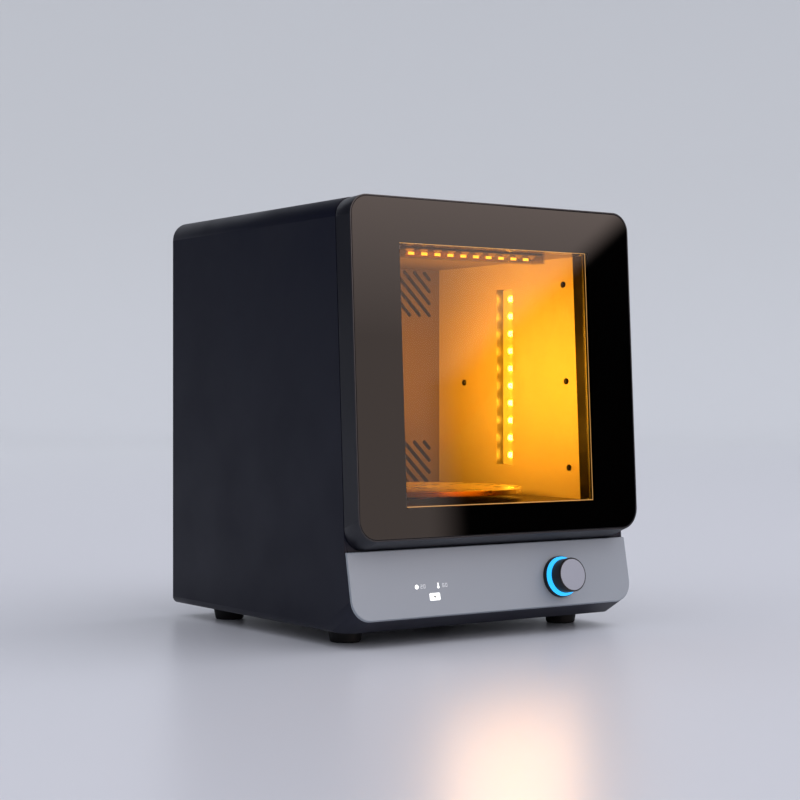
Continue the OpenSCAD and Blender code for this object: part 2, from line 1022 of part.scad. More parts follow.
module main_board() {
    color("#1f5a3c")
        translate([inner_w - main_side - main_w, back_y - main_back, bay_z]) {
            for (x = [main_post_in, main_w - main_post_in], y = [main_post_in, main_d - main_post_in])
                translate([x, y, 0])
                    cylinder(r = main_post_r, h = main_up, $fn = 24);
            translate([0, 0, main_up])
                cube([main_w, main_d, board_t]);
            for (k = [0:3])
                translate([main_w * (0.09 + k * 0.2), main_d * 0.82, main_up + board_t])
                    cube([main_w * 0.13, main_d * 0.12, chip_h * 4.5]);
            translate([main_w / 3, main_d * 0.3, main_up + board_t])
                cube([main_w * 0.18, main_w * 0.18, chip_h]);
            for (k = [0:2])
                translate([main_w * 0.73, main_d * (0.18 + k * 0.18), main_up + board_t])
                    cylinder(r = can_r, h = can_h, $fn = 32);
        }
}

encoder_z = -panel_t - 12;

module display_board() {
    color("#1f5a3c")
        on_panel()
            difference() {
                union() {
                    translate([-case_w / 3, panel_t + 2, 8])
                        cube([2 * case_w / 3, 1.6, panel_h - 18]);
                    for (x = [-case_w / 3 + 5, case_w / 3 - 5], z = [12, panel_h - 14])
                        translate([x, panel_t - lip_slack / 2, z])
                            rotate([-90, 0, 0])
                                cylinder(r = 3, h = 3, $fn = 24);
                    translate([-78, panel_t - lip_slack / 2, knob_up - 12])
                        cube([44, 2.4, 24]);
                }
                translate([knob_x - 8, 0, knob_up - 8])
                    cube([16, 12, 16]);
            }
}

module encoder_body() {
    color("#3c4046")
        at_knob() {
            difference() {
                union() {
                    translate([-7.8, -7.8, -panel_t - 10])
                        cube([15.6, 15.6, 8]);
                    translate([0, 0, -panel_t - 2.5])
                        cylinder(r = 4.5, h = 6);
                }
                translate([0, 0, -panel_t - 8])
                    cylinder(r = 3 + run_fit, h = 20);
            }
            translate([-knob_r + 1, -7.8, -panel_t - 2])
                cube([knob_r - 6, 15.6, 2 + lip_slack / 2]);
            translate([5, -7.8, -panel_t - 2])
                cube([knob_r - 6, 15.6, 2 + lip_slack / 2]);
        }
}

module encoder_spindle() {
    color("#b5b7ba")
        at_knob()
            translate([0, 0, -panel_t - 7])
                cylinder(r = 3, h = 7 + panel_t + knob_reach - 5);
}

// Knob: a dark collar on the panel, a light ring on the collar and the knob in front

collar_h = 4;
ring_h = 2;
collar_r = knob_r + collar_w;

module knob_collar() {
    color("#15161a")
        at_knob()
            rotate_extrude()
                polygon([[collar_r, 0], [collar_r, collar_h - 0.4], [collar_r - 0.4, collar_h],
                         [knob_r - 4, collar_h], [knob_r - 4, collar_h - 1.5],
                         [knob_r - 1, collar_h - 1.5], [knob_r - 1, 0]]);
}

module knob_light_ring() {
    color("#22b5ff")
        at_knob()
            translate([0, 0, collar_h])
                rotate_extrude()
                    polygon([[knob_r - 3, 0], [collar_r - 0.8, 0], [collar_r - 0.8, ring_h - 0.5],
                             [collar_r - 1.3, ring_h], [knob_r - 3, ring_h]]);
}

module knob_body() {
    color("#17181c")
        at_knob()
            rotate_extrude()
                polygon([[3 + run_fit, collar_h + ring_h + 1], [knob_r - 0.6, collar_h + ring_h + 1],
                         [knob_r, collar_h + ring_h + 1.6], [knob_r, knob_reach - knob_edge],
                         [knob_r - knob_edge, knob_reach], [knob_r - 1.2, knob_reach],
                         [knob_r - 1.2, knob_reach - 1.5], [0, knob_reach - 1.5],
                         [0, knob_reach - 3.5], [3 + run_fit, knob_reach - 3.5]]);
}

module knob_face() {
    color("#9ea1a8")
        at_knob()
            translate([0, 0, knob_reach - 1.5])
                cylinder(r = knob_r - 1.2, h = 1.4);
}

// Door, drawn on the leaning plane: x across, z up the plane, y = 0 on the cabinet's front

door_front = -seam_gap - door_t;

// The door's underside runs back and down; its lower corners run with it
module door_underside(inset) {
    slope = atan2(door_bevel, door_t);
    translate([0, door_front, door_gap + door_bevel + inset / cos(slope)])
        rotate([-slope, 0, 0])
            translate([0, -front_h, 0])
                upright(front_h + 3 * door_t)
                    arched_square(case_w - 2 * inset, 2 * front_h, door_corner_r - inset, 1);
}

module door_solid(inset) {
    intersection() {
        translate([0, door_front, 0])
            upright(door_t)
                translate([0, door_gap + inset])
                    arched_square(case_w - 2 * inset, door_top - door_gap - 2 * inset, 1,
                                  case_edge_r - inset);
        door_underside(inset);
    }
}

module window_outline(grow, r) {
    translate([-window_w / 2 - grow, window_z - grow])
        rounded_square(window_w + 2 * grow, window_h + 2 * grow, r);
}

module glass_outline(inset) {
    translate([0, glass_foot + inset])
        arched_square(glass_w - 2 * inset, glass_h - 2 * inset, glass_r - inset,
                      case_edge_r - glass_rim - inset);
}

hinge_places = [hinge_margin, front_h - hinge_margin];

module door_frame() {
    color("#25272d")
        on_front()
            difference() {
                door_solid(0);
                translate([0, door_front - cut, 0])
                    upright(glass_t + cut)
                        glass_outline(0);
                translate([0, door_front, 0])
                    upright(glass_t + filter_t)
                        window_outline(filter_lap, 4);
                translate([0, door_front, 0])
                    upright(2 * door_t)
                        window_outline(0, 2);
                door_back_hollow();
                hinge_edge();
                for (z = hinge_places)
                    translate([hinge_x - hinge_knuckle_r - hinge_clear,
                               hinge_y - hinge_knuckle_r - hinge_clear, z - hinge_h / 2 - 0.3])
                        cube([4 * hinge_r, 4 * hinge_r, hinge_h + 0.6]);
                for (z = hinge_places)
                    translate([hinge_x, hinge_y, z - hinge_h])
                        cylinder(r = hinge_pin_r + run_fit, h = 2 * hinge_h);
            }
}

// The pocket behind the door's web, closed by the back cover
module door_back_hollow() {
    start = glass_t + web_t;
    translate([0, door_front + start, 0])
        upright(door_t)
            difference() {
                translate([-case_w / 2 + door_wall, door_gap + door_bevel + door_corner_r / 2])
                    square([case_w - door_wall - stile_t - 1,
                            front_h - door_gap - door_bevel - door_corner_r / 2 - case_edge_r / 2]);
                window_outline(0, 2);
            }
}

// Takes the door's hinge edge down to a round about the hinge axis
module hinge_edge() {
    difference() {
        translate([hinge_x, hinge_y, -cut])
            cube([2 * hinge_r, 2 * hinge_r, 2 * front_h]);
        translate([hinge_x, hinge_y, -2 * cut])
            cylinder(r = hinge_r, h = 3 * front_h);
    }
}

module door_glass() {
    color("#0c0c0d", 0.6)
        on_front()
            translate([0, door_front, 0])
                upright(glass_t)
                    glass_outline(0.1);
}

module amber_filter() {
    color("#ff9a1e", 0.6)
        on_front()
            translate([0, door_front + glass_t, 0])
                upright(filter_t)
                    window_outline(filter_lap - sheet_fit, 3.8);
}

liner_w = 10;

module door_liner() {
    color("#a39a8c")
        on_front()
            translate([0, door_front + glass_t + web_t, 0])
                upright(door_t - glass_t - web_t)
                    difference() {
                        window_outline(liner_w, 3);
                        window_outline(0, 2);
                    }
}

module door_back_cover() {
    color("#2a2b31")
        on_front()
            translate([0, -seam_gap - cover_t, 0])
                upright(cover_t)
                    difference() {
                        translate([-case_w / 2 + door_wall + sheet_fit,
                                   door_gap + door_bevel + door_corner_r / 2 + sheet_fit])
                            square([case_w - door_wall - stile_t - 1 - 2 * sheet_fit,
                                    front_h - door_gap - door_bevel - door_corner_r / 2
                                    - case_edge_r / 2 - 2 * sheet_fit]);
                        window_outline(liner_w + sheet_fit, 3);
                    }
}

magnet_x = -case_w / 2 + 20;

module door_magnets() {
    color("#c9cbce")
        on_front()
            for (z = [hinge_margin, front_h - hinge_margin])
                translate([magnet_x, -seam_gap - cover_t, z])
                    rotate([90, 0, 0])
                        cylinder(r = 6, h = 5);
}

module strike_plates() {
    color("#b9bbbf")
        on_front()
            for (z = [hinge_margin, front_h - hinge_margin])
                translate([magnet_x - 8, -seam_gap / 2, z - 10])
                    cube([12, seam_gap / 2, 20]);
}

module door_seal() {
    color("#1a1a1c")
        on_front()
            translate([0, -seam_gap, 0])
                upright(seam_gap)
                    difference() {
                        translate([-chamber_x - 5, window_z - 6])
                            rounded_square(chamber_w + 10, chamber_h + 10, 6);
                        translate([-chamber_x - 1, window_z - 2])
                            rounded_square(chamber_w + 2, chamber_h + 2, 3);
                    }
}

// Hinges: arms on the cabinet reach into notches of the door, and pins run through both

module hinge_leaf_seats(slack) {
    for (z = hinge_places)
        translate([hinge_x - 18 - slack, -cut, z - hinge_h / 2 - slack])
            cube([18 + hinge_knuckle_r - 1.2 + 2 * slack, cut + 2, hinge_h + 2 * slack]);
}

module hinge_arms() {
    color("#8e9196")
        on_front()
            for (z = hinge_places)
                difference() {
                    union() {
                        translate([hinge_x, hinge_y, z - hinge_h / 2 + 0.2])
                            cylinder(r = hinge_knuckle_r, h = hinge_h - 0.4);
                        translate([hinge_x - hinge_knuckle_r, hinge_y, z - hinge_h / 2 + 0.2])
                            cube([2 * hinge_knuckle_r - 1.2, -hinge_y + 2, hinge_h - 0.4]);
                        translate([hinge_x - 18, 0, z - hinge_h / 2 + 0.2])
                            cube([18, 2, hinge_h - 0.4]);
                    }
                    translate([hinge_x, hinge_y, z - hinge_h])
                        cylinder(r = hinge_pin_r, h = 2 * hinge_h);
                }
}

module hinge_pins() {
    color("#c4c6c9")
        on_front()
            for (z = hinge_places)
                translate([hinge_x, hinge_y, z - hinge_h + 1])
                    cylinder(r = hinge_pin_r, h = 2 * hinge_h - 2);
}

module door_sensor() {
    color("#303136")
        on_front()
            translate([magnet_x - 6, frame_t, front_h / 2 - 10])
                cube([10, 6, 20]);
}

case_shell();
chassis_plate();
rear_panel();
front_frame();
control_panel();
feet();
foot_screws();
chamber_left_wall();
chamber_right_wall();
chamber_back_wall();
chamber_ceiling();
chamber_floor();
chamber_screws();
side_lamp_trays();
side_lamp_boards();
side_lamp_leds();
top_lamp_board();
top_lamp_leds();
top_lamp_cover();
heat_sinks();
turntable_disc();
turntable_hub();
drive_spindle();
shaft_coupler();
floor_bush();
turntable_motor();
motor_bracket();
air_duct();
circulation_fan_frame();
circulation_impeller();
heater_bank();
exhaust_fan_frame();
exhaust_impeller();
exhaust_guard();
power_inlet();
inlet_pins();
rocker_switch();
fuse_drawer();
power_supply();
main_board();
display_board();
encoder_body();
encoder_spindle();
knob_body();
knob_face();
knob_collar();
knob_light_ring();
door_sensor();
rear_screws();
door_frame();
door_glass();
amber_filter();
door_liner();
door_back_cover();
door_magnets();
strike_plates();
door_seal();
hinge_arms();
hinge_pins();
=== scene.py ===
# %% [markdown]
# # Building the picture of a bench light curing unit
# The solid model gives every piece its exact place. This notebook dresses it: softened edges,
# paint, brushed steel, amber glass, a lit display, and the plain studio around the unit.
# Lengths are metres, +Z is up, -Y is the front and the origin lies under the unit.

# %% Load the solid model
import math
import json
import bmesh
import bpy
from mathutils import Matrix, Vector


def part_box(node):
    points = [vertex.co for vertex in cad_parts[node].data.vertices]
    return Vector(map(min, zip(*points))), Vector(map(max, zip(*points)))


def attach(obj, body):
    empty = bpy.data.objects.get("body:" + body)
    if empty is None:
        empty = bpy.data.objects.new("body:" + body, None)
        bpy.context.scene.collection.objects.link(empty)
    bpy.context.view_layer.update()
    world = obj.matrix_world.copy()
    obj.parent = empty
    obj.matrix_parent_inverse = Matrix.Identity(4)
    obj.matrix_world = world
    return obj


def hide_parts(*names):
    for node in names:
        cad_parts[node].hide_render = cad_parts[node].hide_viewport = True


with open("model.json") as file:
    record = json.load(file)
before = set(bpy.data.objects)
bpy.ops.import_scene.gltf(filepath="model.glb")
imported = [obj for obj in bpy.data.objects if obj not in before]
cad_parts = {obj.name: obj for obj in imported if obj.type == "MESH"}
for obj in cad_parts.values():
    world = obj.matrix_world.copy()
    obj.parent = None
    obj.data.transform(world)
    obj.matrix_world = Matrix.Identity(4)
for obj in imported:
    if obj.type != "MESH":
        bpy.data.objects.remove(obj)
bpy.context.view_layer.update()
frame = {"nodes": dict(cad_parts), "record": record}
print("pieces in the solid model:", len(frame["nodes"]))

# %% [markdown]
# ## Colours and shader nodes
# Colours are written as screen hex values and turned into linear numbers by one function.
# `add` puts a node into a shader tree with its settings and its links in one line.

# %% Helpers for materials
def linear(code):
    """Linear RGBA of a screen colour such as #8a8d96."""
    parts = [int(code[i:i + 2], 16) / 255 for i in (1, 3, 5)]
    low = [c / 12.92 if c <= 0.04045 else ((c + 0.055) / 1.055) ** 2.4 for c in parts]
    return (*low, 1.0)


def add(tree, kind, links=(), **settings):
    """Adds a shader node; settings name attributes or sockets, links are (socket, source)."""
    node = tree.nodes.new(kind)
    for key, value in settings.items():
        if hasattr(node, key):
            setattr(node, key, value)
        else:
            node.inputs[key.replace("_", " ")].default_value = value
    for socket, source in links:
        tree.links.new(source, node.inputs[socket])
    return node


def against(tree, value, operation, number):
    """The output of a maths node that sets a value against a plain number."""
    node = add(tree, "ShaderNodeMath", [(0, value)], operation=operation)
    node.inputs[1].default_value = number
    return node.outputs[0]


def new_material(name):
    """An empty material, its tree and the socket that its surface goes into."""
    material = bpy.data.materials.new(name)
    material.use_nodes = True
    tree = material.node_tree
    for node in list(tree.nodes):
        if node.type != "OUTPUT_MATERIAL":
            tree.nodes.remove(node)
    return material, tree, tree.get_output_node("ALL").inputs["Surface"]


print("mid grey #808080 is linear", round(linear("#808080")[0], 4))

# %% [markdown]
# ## Meshes and pieces
# Small extra pieces are flat shapes. One helper turns lists of corner points into faces, and
# the other puts the mesh into the scene with its finish.

# %% Helpers for pieces
def mesh_of(name, faces):
    """A mesh with one face for each list of corner points."""
    mesh = bpy.data.meshes.new(name)
    work = bmesh.new()
    for corners in faces:
        work.faces.new([work.verts.new(point) for point in corners])
    work.normal_update()
    work.to_mesh(mesh)
    work.free()
    return mesh


def new_piece(name, mesh, material=None):
    """Puts a mesh into the scene as a named piece."""
    if material:
        mesh.materials.append(material)
    piece = bpy.data.objects.new(name, mesh)
    bpy.context.scene.collection.objects.link(piece)
    return piece


BODY_OF = {n: b for b, names in frame["record"]["behaviour"]["bodies"].items() for n in names}
print("bodies that move or carry:", len(set(BODY_OF.values())))

# %% [markdown]
# ## Coatings
# Every coating is a Principled shader whose roughness and height come from noise in object
# coordinates, so it rides with its piece and needs no picture. A wide, faint cloud changes the
# gloss from place to place, and a fine grain breaks up the highlights.

# %% Paint, plastic and plain metal
def coated(name, colour, rough, metal=0.0, grain=900.0, relief=0.02, spread=0.06, **more):
    """A coating: colour, a slight change of gloss from place to place and a fine grain."""
    material, tree, surface = new_material(name)
    place = add(tree, "ShaderNodeTexCoord").outputs["Object"]
    cloud = add(tree, "ShaderNodeTexNoise", [("Vector", place)], Scale=14.0, Detail=3.0)
    fine = add(tree, "ShaderNodeTexNoise", [("Vector", place)], Scale=grain, Detail=2.0)
    gloss = add(tree, "ShaderNodeMapRange", [("Value", cloud.outputs["Fac"])],
                From_Min=0.3, From_Max=0.7, To_Min=rough - spread, To_Max=rough + spread)
    bump = add(tree, "ShaderNodeBump", [("Height", fine.outputs["Fac"])],
               Strength=relief, Distance=0.0004)
    skin = add(tree, "ShaderNodeBsdfPrincipled",
               [("Roughness", gloss.outputs["Result"]), ("Normal", bump.outputs["Normal"])],
               Base_Color=linear(colour), Metallic=metal)
    for key, value in more.items():
        skin.inputs[key.replace("_", " ")].default_value = value
    tree.links.new(skin.outputs[0], surface)
    return material


# Powder coat on the folded steel case, satin with a very fine grain
CASE_PAINT = coated("powder_coated_steel_charcoal", "#101325", 0.46, grain=1400.0, relief=0.03,
                    Specular_IOR_Level=0.35)
# The door's moulded frame, the same tone and a little smoother
DOOR_PAINT = coated("painted_door_moulding", "#1a1b23", 0.36, grain=1400.0, relief=0.02)
# Metallic grey lacquer on the fascia
PANEL_PAINT = coated("metallic_lacquer_grey", "#939aa3", 0.48, metal=0.1, grain=2500.0,
                     relief=0.015, spread=0.04)
# Moulded plastics: plain black, and the smoother grip of the knob
BLACK_PLASTIC = coated("moulded_abs_black", "#0e0f12", 0.45, relief=0.04)
KNOB_PLASTIC = coated("soft_touch_black", "#101116", 0.38, relief=0.02)
# Feet and door seal
RUBBER = coated("moulded_rubber", "#0b0b0d", 0.62, grain=700.0, relief=0.08)
SEAL = coated("silicone_seal", "#151517", 0.6)
# Fasteners: blackened heads in the chamber, zinc plating elsewhere
SCREW_BLACK = coated("blackened_steel_screw", "#0c0b0b", 0.4, metal=0.6)
SCREW_STEEL = coated("zinc_plated_screw", "#b9bbc0", 0.28, metal=1.0)
# Printed boards: green solder mask, and white under the lamps
BOARD_GREEN = coated("solder_mask_green", "#174a30", 0.35)
BOARD_WHITE = coated("white_lamp_board", "#8c8778", 0.5)
# Turned bushes and pins, and the anodised sinks behind the lamps
BRASS = coated("turned_brass", "#b08d4f", 0.3, metal=1.0)
SINK = coated("anodised_heat_sink", "#3c3f45", 0.5, metal=0.8)
# The walls of the window tunnel, a dark gloss that mirrors the lit chamber
LINER = coated("black_gloss_tunnel", "#0b0a0a", 0.2, relief=0.01, spread=0.04)
print("coatings made:", len(bpy.data.materials))

# %% [markdown]
# ## Brushed metal
# Brushing leaves long thin marks. The noise is squeezed along one axis and stretched along
# another, and drives both the roughness and a slight height.

# %% Sheets, turntable and knob face
ALONG_Z = (9.0, 9.0, 0.5)
ALONG_X = (0.5, 9.0, 9.0)


def brushed(name, colour, rough, stretch, relief=0.05, metal=1.0):
    """Metal with long brush marks; stretch is small along the marks and large across them."""
    material, tree, surface = new_material(name)
    place = add(tree, "ShaderNodeTexCoord").outputs["Object"]
    pulled = add(tree, "ShaderNodeMapping", [("Vector", place)], Scale=stretch)
    marks = add(tree, "ShaderNodeTexNoise", [("Vector", pulled.outputs[0])],
                Scale=60.0, Detail=4.0, Roughness=0.7)
    gloss = add(tree, "ShaderNodeMapRange", [("Value", marks.outputs["Fac"])],
                From_Min=0.3, From_Max=0.7, To_Min=rough - 0.07, To_Max=rough + 0.07)
    bump = add(tree, "ShaderNodeBump", [("Height", marks.outputs["Fac"])],
               Strength=relief, Distance=0.0003)
    skin = add(tree, "ShaderNodeBsdfPrincipled",
               [("Roughness", gloss.outputs["Result"]), ("Normal", bump.outputs["Normal"])],
               Base_Color=linear(colour), Metallic=metal)
    tree.links.new(skin.outputs[0], surface)
    return material


# Chamber sheets: the marks run up the walls and across the floor
STEEL_UP = brushed("brushed_stainless_upright", "#958d82", 0.5, ALONG_Z, 0.05, 0.55)
# Painted shade: the back wall and ceiling take a darker copy of the wall steel
STEEL_SHADED_BACK = brushed("brushed_stainless_back_painted_shade", "#71695f", 0.5, ALONG_Z, 0.05, 0.55)
# Painted shade: the floor takes a much darker copy of the same steel
STEEL_SHADED_FLOOR = brushed("brushed_stainless_floor_painted_shade", "#4a4038", 0.42, ALONG_X, 0.05, 0.55)
# Plain rolled steel for the pieces inside
STEEL_PLAIN = brushed("rolled_steel", "#85878c", 0.4, (3.0, 3.0, 1.0), 0.02)
# The spun disc and the knob's satin face
TABLE = brushed("spun_turntable", "#d6ccba", 0.30, (0.6, 0.6, 6.0), 0.002, 0.85)
KNOB_METAL = brushed("brushed_knob_face", "#9a9fac", 0.42, (30.0, 2.0, 2.0), 0.03, 0.25)
print("with the brushed metals:", len(bpy.data.materials))

# %% [markdown]
# ## Glowing pieces
# The lamps, the ring round the knob and the lit print give off light of their own. Strengths
# are chosen so that the lamps burn out to white while the print keeps its shape.

# %% Lamps, ring and lit print
def glowing(name, colour, strength):
    """A surface that gives off its own light."""
    material, tree, surface = new_material(name)
    skin = add(tree, "ShaderNodeBsdfPrincipled", Base_Color=linear("#000000"), Roughness=0.35,
               Emission_Color=linear(colour), Emission_Strength=strength)
    tree.links.new(skin.outputs[0], surface)
    return material


# The moulded lenses of the side lamps and of the dimmer lamp under the ceiling
LED = glowing("lamp_led_lens", "#fff2d6", 42.0)
LED_TOP = glowing("top_lamp_led_lens", "#ffe9c8", 0.8)
# The light guide behind the knob
RING = glowing("blue_light_ring", "#2cb2ff", 1.45)
# Painted highlights: the bright border of the amber sheet, and the glints on the lamp's cover
EDGE_LIGHT = glowing("painted_edge_highlight", "#ffbe6c", 0.75)
GLINT = glowing("painted_glints_on_cover", "#fff4e6", 2.4)
# White print on the fascia, lit from behind; the figures are fainter
DISPLAY = glowing("backlit_white_print", "#ffffff", 1.6)
FIGURES = glowing("backlit_figure_print", "#e4e6ee", 1.0)
print("with the glowing pieces:", len(bpy.data.materials))

# %% [markdown]
# ## The door's glass
# The glass is a dark mirror round the window and clear over it. A border printed on its back
# makes the black, and the shader tells the two apart by the object's own coordinates.

# %% Glass with its black print
WINDOW_TOP = 0.3335
WINDOW_LOW = 0.1146
HALF_WINDOW = 0.102
GLASS_IOR = 1.5


def door_glass_finish():
    """Black printed glass with a clear window."""
    material, tree, surface = new_material("float_glass_with_black_print")
    place = add(tree, "ShaderNodeTexCoord").outputs["Object"]
    axes = add(tree, "ShaderNodeSeparateXYZ", [("Vector", place)])
    side = add(tree, "ShaderNodeMath", [(0, axes.outputs["X"])], operation="ABSOLUTE")
    inside = against(tree, side.outputs[0], "LESS_THAN", HALF_WINDOW)
    above = against(tree, axes.outputs["Z"], "GREATER_THAN", WINDOW_LOW)
    below = against(tree, axes.outputs["Z"], "LESS_THAN", WINDOW_TOP)
    both = add(tree, "ShaderNodeMath", [(0, above), (1, below)], operation="MULTIPLY")
    clear = add(tree, "ShaderNodeMath", [(0, both.outputs[0]), (1, inside)],
                operation="MULTIPLY")
    black = add(tree, "ShaderNodeBsdfDiffuse", Color=(0.0006, 0.0005, 0.0005, 1))
    through = add(tree, "ShaderNodeBsdfTransparent", Color=(0.97, 0.97, 0.97, 1))
    body = add(tree, "ShaderNodeMixShader",
               [(0, clear.outputs[0]), (1, black.outputs[0]), (2, through.outputs[0])])
    shine = add(tree, "ShaderNodeBsdfGlossy", Roughness=0.02)
    edge = add(tree, "ShaderNodeFresnel", IOR=GLASS_IOR)
    # Rays cross the pane unbent, so only the side they enter by mirrors them
    leaving = add(tree, "ShaderNodeNewGeometry").outputs["Backfacing"]
    entering = add(tree, "ShaderNodeMath", [(1, leaving)], operation="SUBTRACT")
    entering.inputs[0].default_value = 1.0
    mirror = add(tree, "ShaderNodeMath", [(0, edge.outputs[0]), (1, entering.outputs[0])],
                 operation="MULTIPLY")
    out = add(tree, "ShaderNodeMixShader",
              [(0, mirror.outputs[0]), (1, body.outputs[0]), (2, shine.outputs[0])])
    tree.links.new(out.outputs[0], surface)
    return material


DOOR_GLASS = door_glass_finish()
print("window height in mm:", round((WINDOW_TOP - WINDOW_LOW) * 1000, 1))

# %% [markdown]
# ## Amber sheet and lamp cover
# The amber sheet is a pure colour filter, which keeps the view clean: light meets its tint once
# going in and once going out. The lamp's cover is nearly clear with a little shine.

# %% Tinted and clear plastics
AMBER_TINT = (1.0, 0.585, 0.062, 1)
COVER_TINT = (0.86, 0.84, 0.8, 1)


def cover_finish():
    """The lamp's clear moulded cover: mostly a view through, with a little shine."""
    material, tree, surface = new_material("clear_polycarbonate_cover")
    through = add(tree, "ShaderNodeBsdfTransparent", Color=COVER_TINT)
    shine = add(tree, "ShaderNodeBsdfGlossy", Roughness=0.12)
    out = add(tree, "ShaderNodeMixShader", [(1, through.outputs[0]), (2, shine.outputs[0])])
    out.inputs[0].default_value = 0.14
    tree.links.new(out.outputs[0], surface)
    return material


def amber_finish():
    """Cast acrylic that lets only warm light through."""
    material, tree, surface = new_material("amber_filter_sheet")
    tint = add(tree, "ShaderNodeBsdfTransparent", Color=AMBER_TINT)
    tree.links.new(tint.outputs[0], surface)
    return material


COVER = cover_finish()
AMBER = amber_finish()
print("green left by both faces of the sheet:", round(AMBER_TINT[1] ** 2, 3))

# %% [markdown]
# ## Dressing the solid pieces
# Every piece of the solid model gets its finish by name. Pieces inside or seen from far keep
# their solid shape as it is.

# %% Finishes of the pieces
FINISH = {
    # Housing
    "case_shell": CASE_PAINT, "rear_panel": CASE_PAINT, "front_frame": CASE_PAINT,
    "control_panel": PANEL_PAINT, "chassis_plate": STEEL_PLAIN, "feet": RUBBER,
    "foot_screws": SCREW_STEEL, "rear_screws": SCREW_STEEL,
    # Chamber
    "chamber_left_wall": STEEL_UP, "chamber_right_wall": STEEL_UP,
    "chamber_back_wall": STEEL_SHADED_BACK, "chamber_ceiling": STEEL_SHADED_BACK,
    "chamber_floor": STEEL_SHADED_FLOOR, "chamber_screws": SCREW_BLACK,
    "side_lamp_trays": STEEL_PLAIN, "side_lamp_boards": BOARD_WHITE, "side_lamp_leds": LED,
    "top_lamp_board": BOARD_WHITE, "top_lamp_leds": LED_TOP, "top_lamp_cover": COVER,
    "heat_sinks": SINK,
    # Turntable and its drive
    "turntable_disc": TABLE, "turntable_hub": BLACK_PLASTIC, "drive_spindle": STEEL_PLAIN,
    "shaft_coupler": STEEL_PLAIN, "floor_bush": BRASS, "turntable_motor": STEEL_PLAIN,
    "motor_bracket": STEEL_PLAIN,
    # Air and heat
    "air_duct": STEEL_PLAIN, "circulation_fan_frame": BLACK_PLASTIC,
    "circulation_impeller": BLACK_PLASTIC, "heater_bank": STEEL_PLAIN,
    "exhaust_fan_frame": BLACK_PLASTIC, "exhaust_impeller": BLACK_PLASTIC,
    "exhaust_guard": SCREW_STEEL,
    # Power and control
    "power_inlet": BLACK_PLASTIC, "inlet_pins": BRASS, "rocker_switch": BLACK_PLASTIC,
    "fuse_drawer": BLACK_PLASTIC, "power_supply": STEEL_PLAIN, "main_board": BOARD_GREEN,
    "display_board": BOARD_GREEN, "encoder_body": STEEL_PLAIN,
    "encoder_spindle": STEEL_PLAIN, "knob_body": KNOB_PLASTIC, "knob_face": KNOB_METAL,
    "knob_collar": BLACK_PLASTIC, "knob_light_ring": RING, "door_sensor": BLACK_PLASTIC,
    # Door
    "door_frame": DOOR_PAINT, "door_glass": DOOR_GLASS, "amber_filter": AMBER,
    "door_liner": LINER, "door_back_cover": DOOR_PAINT, "door_magnets": SCREW_STEEL,
    "strike_plates": SCREW_STEEL, "door_seal": SEAL, "hinge_arms": STEEL_PLAIN,
    "hinge_pins": SCREW_STEEL,
}
for name, finish in FINISH.items():
    mesh = frame["nodes"][name].data
    mesh.materials.clear()
    mesh.materials.append(finish)
print("finished pieces:", len(FINISH))

# %% [markdown]
# ## Rounded edges
# The pieces the eye meets first are copied and given small rounded edges that catch the light.
# Wide faces stay flat, so that their reflections stay true; only the narrow ones are smoothed.

# %% Rounded copies of the pieces in front
WIDE_FACE = 0.0015
EDGE_WIDTHS = {"door_frame": 0.0008, "door_glass": 0.0006, "control_panel": 0.0007,
               "case_shell": 0.0006, "turntable_disc": 0.0003, "door_liner": 0.0003}


def soften(name, width, segments=3, sharp=28.0, flat=0.4):
    """A copy of a solid piece with its sharp edges rounded off inward."""
    mesh = frame["nodes"][name].data.copy()
    work = bmesh.new()
    work.from_mesh(mesh)
    bmesh.ops.remove_doubles(work, verts=work.verts, dist=1e-6)
    bmesh.ops.dissolve_limit(work, angle_limit=math.radians(flat), verts=work.verts,
                             edges=work.edges)
    work.to_mesh(mesh)
    work.free()
    piece = new_piece(name + "_soft", mesh)
    bevel = piece.modifiers.new("edges", "BEVEL")
    bevel.width = width
    bevel.segments = segments
    bevel.limit_method = "ANGLE"
    bevel.angle_limit = math.radians(sharp)
    bevel.harden_normals = False
    bevel.use_clamp_overlap = True
    deps = bpy.context.evaluated_depsgraph_get()
    shaped = bpy.data.meshes.new_from_object(piece.evaluated_get(deps))
    piece.modifiers.clear()
    piece.data = shaped
    shaped.set_sharp_from_angle(angle=math.radians(24))
    for face in shaped.polygons:
        face.use_smooth = face.area < WIDE_FACE
    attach(piece, BODY_OF[name])
    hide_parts(name)
    return piece


for name, width in EDGE_WIDTHS.items():
    piece = soften(name, width)
    print(piece.name, "triangles about", len(piece.data.polygons) * 2)

# %% [markdown]
# ## The panel's own plane
# Marks on the fascia are drawn in two numbers: across the panel from its middle, and up its
# slope from its lower edge. They lie a hair above the lacquer.

# %% Shapes on the slope
PANEL_LEAN = math.radians(10.7)
PANEL_LOW = Vector((0.0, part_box("control_panel")[0].y, 0.024))
ACROSS = Vector((1, 0, 0))
UP = Vector((0, math.sin(PANEL_LEAN), math.cos(PANEL_LEAN)))
OUT = Vector((0, -math.cos(PANEL_LEAN), math.sin(PANEL_LEAN)))
PRINT_LIFT = 0.00006


def on_panel(points, lift):
    """Points of the panel's plane as points in space."""
    return [PANEL_LOW + ACROSS * x + UP * z + OUT * lift for x, z in points]


def printed(name, shapes, material, lift=PRINT_LIFT):
    """Flat marks on the panel, as one piece."""
    piece = new_piece(name, mesh_of(name, [on_panel(s, lift) for s in shapes]), material)
    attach(piece, "cabinet")


def dot(cx, cz, radius, steps=32):
    """A round mark."""
    turn = [2 * math.pi * k / steps for k in range(steps)]
    return [(cx + radius * math.cos(t), cz + radius * math.sin(t)) for t in turn]


def stroke(a, b, width):
    """A straight stroke as four corners."""
    along = (Vector(b) - Vector(a)).normalized() * width / 2
    side = Vector((-along.y, along.x))
    a, b = Vector(a) - along, Vector(b) + along
    return [tuple(a - side), tuple(b - side), tuple(b + side), tuple(a + side)]


